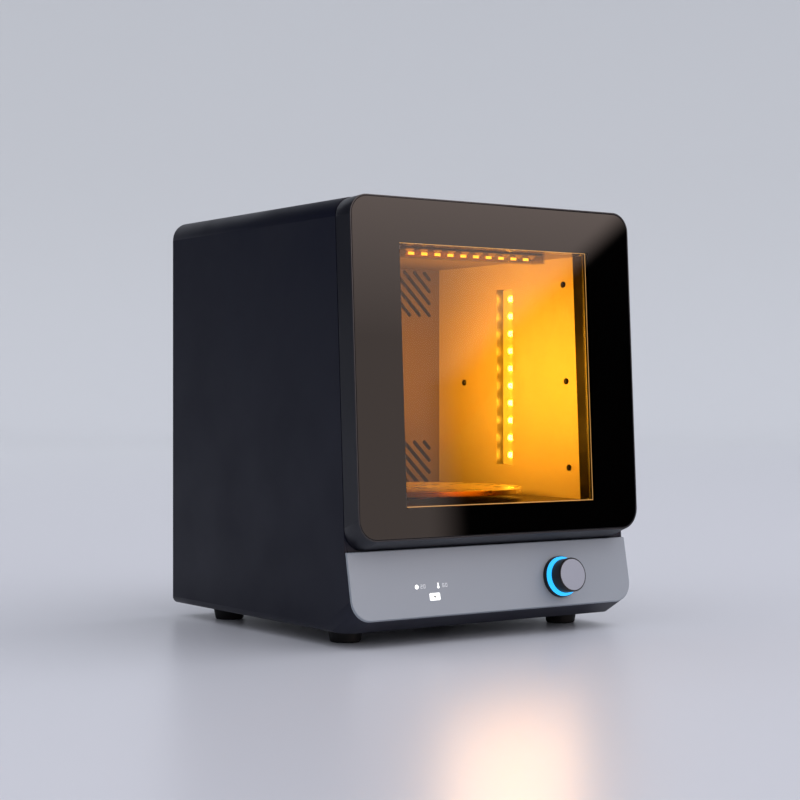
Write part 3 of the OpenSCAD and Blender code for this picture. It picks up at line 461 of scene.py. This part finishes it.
def rounded_key(cx, cz, half_w, half_h, corner, steps=7, step=15):
    """A rectangle with round corners, drawn corner by corner."""
    points = []
    for sx, sz, start in ((1, 1, 0), (-1, 1, 90), (-1, -1, 180), (1, -1, 270)):
        for k in range(steps):
            t = math.radians(start + step * k)
            points.append((cx + sx * (half_w - corner) + corner * math.cos(t),
                           cz + sz * (half_h - corner) + corner * math.sin(t)))
    return points


print("panel leans back", round(math.degrees(PANEL_LEAN), 1), "degrees")

# %% [markdown]
# ## Figures
# A figure is made of up to seven strokes, as on any lit readout. Each stroke's ends are given
# on a grid one step wide and two steps high.

# %% Seven strokes to a figure
STROKES_OF = {"0": "abcdef", "2": "abged", "6": "afedcg"}
ENDS_OF = {"a": ((0, 2), (1, 2)), "b": ((1, 1), (1, 2)), "c": ((1, 0), (1, 1)),
           "d": ((0, 0), (1, 0)), "e": ((0, 0), (0, 1)), "f": ((0, 1), (0, 2)),
           "g": ((0, 1), (1, 1))}
FIGURE_W, FIGURE_H, FIGURE_PITCH = 0.0016, 0.0028, 0.0030


def number(text, x, z):
    """The strokes of a number whose lower left corner is at x, z."""
    half = FIGURE_H / 2
    out = []
    for place, figure in enumerate(text):
        left = x + place * FIGURE_PITCH
        for key in STROKES_OF[figure]:
            (ax, az), (bx, bz) = ENDS_OF[key]
            out.append(stroke((left + ax * FIGURE_W, z + az * half),
                              (left + bx * FIGURE_W, z + bz * half), FIGURE_W * 0.24))
    return out


print("strokes in 20:", len(number("20", 0, 0)))

# %% [markdown]
# ## The lit display
# Two small readings, a time and a temperature, stand over one key with a plus sign. The signs
# and the key are bright, and the figures are fainter.

# %% Readings and key
CLOCK_X, THERMO_X, KEY_X = -0.0845, -0.0625, -0.0670
ROW_Z, KEY_Z = 0.0250, 0.0160
FIGURES_LOW = ROW_Z - 0.0013
SIGN_HALF, SIGN_WIDTH, SIGN_LIFT = 0.0012, 0.0007, 0.00012
signs = [dot(CLOCK_X, ROW_Z, 0.0019), dot(THERMO_X, ROW_Z - 0.0012, 0.0012),
         stroke((THERMO_X, ROW_Z - 0.0008), (THERMO_X, ROW_Z + 0.0020), 0.0010)]
figures = (number("20", CLOCK_X + 0.0040, FIGURES_LOW)
           + number("60", THERMO_X + 0.0046, FIGURES_LOW))
plus = [stroke((KEY_X - SIGN_HALF, KEY_Z), (KEY_X + SIGN_HALF, KEY_Z), SIGN_WIDTH),
        stroke((KEY_X, KEY_Z - SIGN_HALF), (KEY_X, KEY_Z + SIGN_HALF), SIGN_WIDTH)]
printed("display_marks", signs, DISPLAY)
printed("display_figures", figures, FIGURES)
printed("display_key", [rounded_key(KEY_X, KEY_Z, 0.0054, 0.0031, 0.0010)], DISPLAY)
printed("display_key_sign", plus, BLACK_PLASTIC, SIGN_LIFT)
print("display shapes:", len(signs) + len(figures))

# %% [markdown]
# ## A painted highlight round the window
# The window's border shows as a thin bright line. It is painted here as a highlight: a glowing
# frame of four narrow faces in front of the amber sheet.

# %% Bright line round the window
def window_edge(width=0.0006):
    """A thin glowing frame on the sheet, a painted highlight, leaning with the door."""
    low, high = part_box("amber_filter")
    lean = math.radians(2.9)
    sheet, margin, gap = 0.003, 0.0080, 0.00005
    up = Vector((0, math.sin(lean), math.cos(lean)))
    tall = (high.z - low.z - sheet * math.sin(lean)) / math.cos(lean) - 2 * margin
    corner = Vector((0, low.y - gap, low.z + sheet * math.sin(lean)))
    outer, inner = [[corner + ACROSS * x + up * z for x, z in (
        (-HALF_WINDOW + inset, margin + inset), (HALF_WINDOW - inset, margin + inset),
        (HALF_WINDOW - inset, margin + tall - inset),
        (-HALF_WINDOW + inset, margin + tall - inset))] for inset in (0.0, width)]
    faces = [[outer[k], outer[(k + 1) % 4], inner[(k + 1) % 4], inner[k]] for k in range(4)]
    piece = new_piece("painted_window_edge_frame", mesh_of("painted_window_edge_frame", faces), EDGE_LIGHT)
    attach(piece, "door")
    print("lit edge height in mm:", round(tall * 1000, 1))


window_edge()

# %% [markdown]
# ## Painted glints on the top lamp's cover
# In the photograph the bar under the ceiling shows ten small pale rectangles. Here they are
# flat glowing faces, placed to match it from the camera. They are no computed image of
# the modelled lights, which sit about 8 mm further right and are kept dim.

# %% Ten painted glints
def cover_glints(count=10, width=0.0062, height=0.0024, pitch=0.0138, shift=-0.008, drop=0.0015):
    """Small glowing rectangles just in front of the clear cover."""
    low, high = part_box("top_lamp_cover")
    middle = (low.z + high.z) / 2 - drop
    faces = []
    for k in range(count):
        x = (k - (count - 1) / 2) * pitch + shift
        faces.append([(x + a * width / 2, low.y - 0.0001, middle + b * height / 2)
                      for a, b in ((-1, -1), (1, -1), (1, 1), (-1, 1))])
    piece = new_piece("cover_glints", mesh_of("cover_glints", faces), GLINT)
    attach(piece, "cabinet")
    print("marks on the cover:", len(faces), "shifted by mm", shift * 1000)


cover_glints()

# %% [markdown]
# ## Floor and backdrop
# A pale satin floor sweeps up into a wall far behind. Its tone grows lighter with distance and
# settles on the wall, as it does in the photograph.

# %% The sweep
TOWARD = Vector((0.5725, 0.8199, 0))
SIDEWAYS = Vector((0.8199, -0.5725, 0))
FLOOR_NEAR, FLOOR_FAR, WALL_TONE = "#c8c9d0", "#d2d4d8", "#d0d2d5"


def sweep(name, material, bend=5.0, flat=7.0, half=12.0):
    """A floor that bends up into a wall, along the camera's direction."""
    profile = [(-6.0, 0.0), (flat, 0.0)]
    for k in range(1, 25):
        t = math.radians(90 * k / 24)
        profile.append((flat + bend * math.sin(t), bend - bend * math.cos(t)))
    profile.append((flat + bend, 14.0))
    mesh = bpy.data.meshes.new(name)
    work = bmesh.new()
    rows = [[work.verts.new(TOWARD * d + SIDEWAYS * s + Vector((0, 0, z)))
             for s in (-half, half)] for d, z in profile]
    for a, b in zip(rows, rows[1:]):
        work.faces.new([a[0], a[1], b[1], b[0]])
    work.normal_update()
    work.to_mesh(mesh)
    work.free()
    for face in mesh.polygons:
        face.use_smooth = True
    piece = new_piece(name, mesh, material)
    print("sweep faces:", len(mesh.polygons))


def studio_finish():
    """Pale satin floor whose tone changes with distance and height."""
    material, tree, surface = new_material("studio_floor")
    place = add(tree, "ShaderNodeTexCoord").outputs["Object"]
    axes = add(tree, "ShaderNodeSeparateXYZ", [("Vector", place)])
    far = add(tree, "ShaderNodeMapRange", [("Value", axes.outputs["Y"])],
              From_Min=0.8, From_Max=5.0, To_Min=0.0, To_Max=1.0)
    height = add(tree, "ShaderNodeMapRange", [("Value", axes.outputs["Z"])],
                 From_Min=0.0, From_Max=1.2)
    ground = add(tree, "ShaderNodeMix", [("Factor", far.outputs[0])], data_type="RGBA")
    ground.inputs["A"].default_value = linear(FLOOR_NEAR)
    ground.inputs["B"].default_value = linear(FLOOR_FAR)
    tone = add(tree, "ShaderNodeMix", [("Factor", height.outputs[0])], data_type="RGBA")
    tree.links.new(ground.outputs["Result"], tone.inputs["A"])
    tone.inputs["B"].default_value = linear(WALL_TONE)
    skin = add(tree, "ShaderNodeBsdfPrincipled", [("Base Color", tone.outputs["Result"])],
               Roughness=0.34)
    tree.links.new(skin.outputs[0], surface)
    return material


sweep("studio_sweep", studio_finish())

# %% [markdown]
# ## The card that the glass mirrors
# The door's black glass shows a large pale card on its left and nothing on its right. The
# card's right edge leans outward as it rises, it fades over a short way, and it is brighter
# at the top. Only glossy rays see it.

# %% The front card
CARD_STRENGTH = 1.8
CARD_Y = -1.5
EDGE_STARTS_Z, EDGE_ENDS_Z = 0.364, 0.764
EDGE_LOW_X, EDGE_HIGH_X, EDGE_FADE = 0.93, 1.49, 0.05


def card_finish():
    """A glow with one leaning, faded edge."""
    material, tree, surface = new_material("front_card_light")
    place = add(tree, "ShaderNodeTexCoord").outputs["Object"]
    axes = add(tree, "ShaderNodeSeparateXYZ", [("Vector", place)])
    edge = add(tree, "ShaderNodeMapRange", [("Value", axes.outputs["Z"])],
               From_Min=EDGE_STARTS_Z, From_Max=EDGE_ENDS_Z, To_Min=EDGE_LOW_X,
               To_Max=EDGE_HIGH_X)
    within = add(tree, "ShaderNodeMath", [(0, edge.outputs[0]), (1, axes.outputs["X"])],
                 operation="SUBTRACT")
    fade = add(tree, "ShaderNodeMapRange", [("Value", within.outputs[0])],
               interpolation_type="SMOOTHSTEP", From_Min=-EDGE_FADE, From_Max=EDGE_FADE,
               To_Min=0.0, To_Max=CARD_STRENGTH)
    rise = add(tree, "ShaderNodeMapRange", [("Value", axes.outputs["Z"])],
               From_Min=0.45, From_Max=0.72, To_Min=0.92, To_Max=1.95)
    level = add(tree, "ShaderNodeMath", [(0, fade.outputs[0]), (1, rise.outputs[0])],
                operation="MULTIPLY")
    glow = add(tree, "ShaderNodeEmission", Color=linear("#f6dfd6"))
    tree.links.new(level.outputs[0], glow.inputs["Strength"])
    tree.links.new(glow.outputs[0], surface)
    return material


left, right, bottom, top = -0.2, 2.4, -0.2, 2.6
mesh = bpy.data.meshes.new("front_card")
mesh.from_pydata([(left, CARD_Y, bottom), (right, CARD_Y, bottom), (right, CARD_Y, top),
                  (left, CARD_Y, top)], [], [(0, 1, 2, 3)])
card = new_piece("front_card", mesh, card_finish())
card.visible_camera = False
card.visible_diffuse = False
card.visible_shadow = False
card.visible_transmission = False
print("card size in m:", right - left, "by", top - bottom)

# %% [markdown]
# ## Lamps
# One large soft lamp hangs above on the right, and a wide sun fills the room. Three lamps in
# the chamber stand in for its light strips. Their strengths are fitted to the photograph: the
# left one is about fifteen times as strong as the right one, which the real strips aren't.

# %% Area lights
CHAMBER_LIGHT = "#fff3dd"
STRIP_X, STRIP_Z = 0.1185, 0.226


def lamp(name, size, at, toward, power, colour="#ffffff", glossy=True, spread=180.0):
    """An area light at a point, turned towards another."""
    data = bpy.data.lights.new(name, "AREA")
    data.shape = "RECTANGLE"
    data.size, data.size_y = size
    data.energy = power
    data.color = linear(colour)[:3]
    data.spread = math.radians(spread)
    light = bpy.data.objects.new(name, data)
    light.matrix_world = Matrix.Translation(at) @ (
        Vector(toward) - Vector(at)).to_track_quat("-Z", "Y").to_matrix().to_4x4()
    bpy.context.scene.collection.objects.link(light)
    light.visible_glossy = glossy
    light.visible_camera = False
    return light


lamp("softbox_right", (1.6, 1.6), (1.9, -0.2, 2.4), (0, 0, 0.1), 7.0, "#fffaf6")
lamp("chamber_lamp_left", (0.018, 0.110), (-STRIP_X, 0.0, STRIP_Z), (0.12, -0.02, 0.232), 1.08,
     CHAMBER_LIGHT, spread=92.0)
lamp("chamber_lamp_right", (0.018, 0.150), (STRIP_X, 0.0, STRIP_Z), (-0.5, 0.0, STRIP_Z), 0.07,
     CHAMBER_LIGHT, glossy=False)
lamp("chamber_lamp_top", (0.140, 0.010), (0.0, -0.1015, 0.3235), (0.0, -0.06, 0.0), 0.02,
     CHAMBER_LIGHT, glossy=False)
print("area lights:", len(bpy.data.lights))

# %% [markdown]
# ## Daylight and the window's glow
# The wide sun has no mirror image. A warm light that is only seen in gloss stands in for the
# lit window's image on the satin floor. It is fixed in the room, so it stays when the door opens.

# %% Sun and glow
sun = bpy.data.lights.new("wide_daylight", "SUN")
sun.energy = 1.0
sun.angle = math.radians(70)
sun.color = linear("#fbfaff")[:3]
day = bpy.data.objects.new("wide_daylight", sun)
day.rotation_euler = Vector((-0.55, 0.55, -1.0)).to_track_quat("-Z", "Y").to_euler()
day.visible_glossy = False
bpy.context.scene.collection.objects.link(day)

glow = lamp("window_glow", (0.142, 0.210), (-0.001, -0.166, 0.225), (-0.001, -1.0, 0.225), 0.50,
            "#ffd2a6")
glow.visible_diffuse = False
glow.visible_transmission = False
print("lights in all:", len(bpy.data.lights))

# %% [markdown]
# ## Sky
# The room's light is even and slightly cool. Glossy rays see a nearly black room, so that the
# glass and the paint stay dark where no card or lamp stands.

# %% World
world = bpy.data.worlds.new("studio")
bpy.context.scene.world = world
world.use_nodes = True
sky = world.node_tree
sky.nodes.clear()
rays = add(sky, "ShaderNodeLightPath")
plain = add(sky, "ShaderNodeBackground", Color=linear("#d9dbe2"), Strength=1.17)
dark = add(sky, "ShaderNodeBackground", Color=linear("#20222a"), Strength=0.12)
mixed = add(sky, "ShaderNodeMixShader", [(0, rays.outputs["Is Glossy Ray"]),
                                         (1, plain.outputs[0]), (2, dark.outputs[0])])
add(sky, "ShaderNodeOutputWorld", [("Surface", mixed.outputs[0])])
print("world:", world.name)

# %% [markdown]
# ## Camera
# The lens, place and turn were fitted to the edges of the cabinet, the door and the panel in
# the photograph. The camera looks level, so uprights stay upright.

# %% The photograph's camera
scene = bpy.context.scene
scene.view_settings.view_transform = "Standard"
eye = bpy.data.cameras.new("camera")
eye.lens = 81.74
eye.sensor_width = 36.0
camera = bpy.data.objects.new("camera", eye)
camera.location = (-0.95816, -1.3692, 0.2037)
camera.rotation_euler = (math.radians(90), 0, math.radians(-34.926))
scene.collection.objects.link(camera)
scene.camera = camera
print("camera to the origin in m:", round(camera.location.length, 3))
